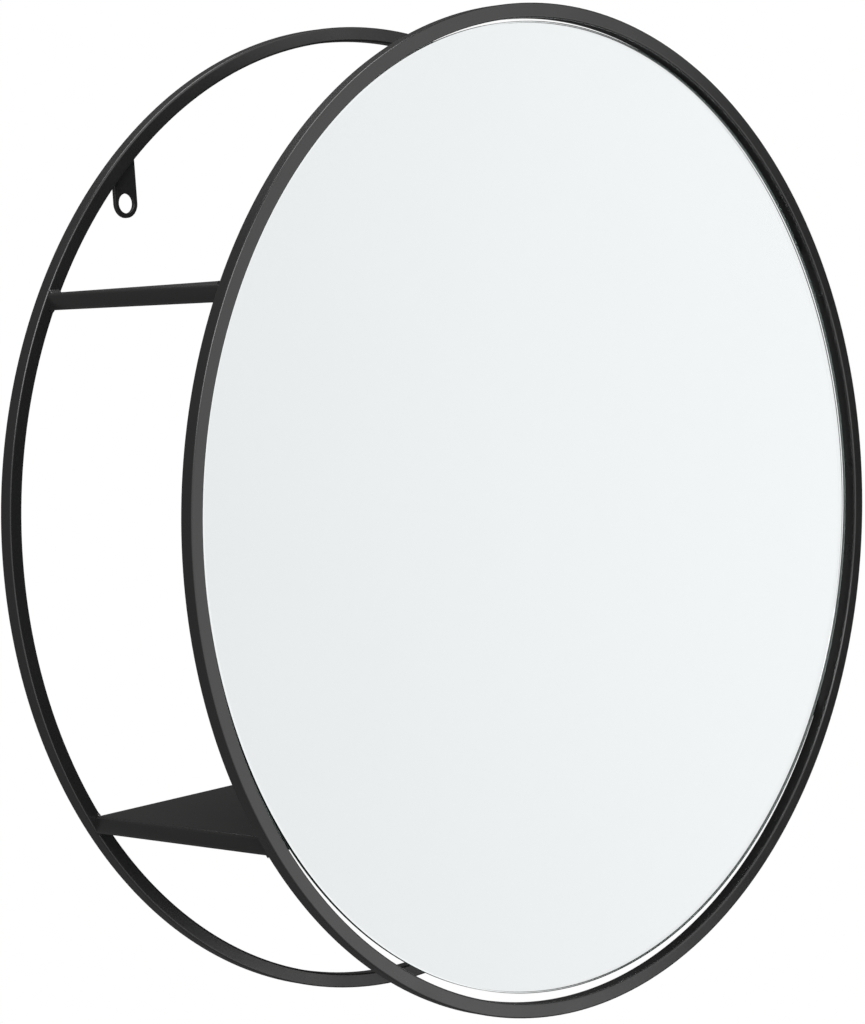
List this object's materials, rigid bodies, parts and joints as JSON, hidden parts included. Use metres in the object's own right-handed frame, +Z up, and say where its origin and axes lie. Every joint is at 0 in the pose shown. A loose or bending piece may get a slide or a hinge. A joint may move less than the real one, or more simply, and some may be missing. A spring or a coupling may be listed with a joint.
{
  "type": "round wall mirror",
  "caption": "Round wall mirror on an open black steel frame: rings of square bar joined by folded shelves behind the glass, hung on the wall by welded ears.",
  "frame": {"origin": "on the wall plane, midway between the two hanging holes", "axes": "+Z up, +Y into the wall, so the mirror faces -Y, and +X to the viewer's right"},
  "size_m": [0.55, 0.146, 0.55],
  "materials": {
    "powder_coat": "satin black powder coat with a fine grain",
    "mirror": "silvered float glass with a narrow polished bevel",
    "backing_film": "satin grey safety film",
    "adhesive": "cured mirror adhesive, satin"
  },
  "bodies": {
    "root": {"rear_ring": "powder_coat", "front_ring": "powder_coat", "upper_shelf": "powder_coat", "lower_shelf": "powder_coat", "left_ear": "powder_coat", "right_ear": "powder_coat", "upper_shelf_welds": "powder_coat", "lower_shelf_welds": "powder_coat", "ear_welds": "powder_coat", "mirror_glass": "mirror", "mirror_film": "backing_film", "upper_adhesive": "adhesive", "lower_adhesive": "adhesive"}
  },
  "joints": []
}
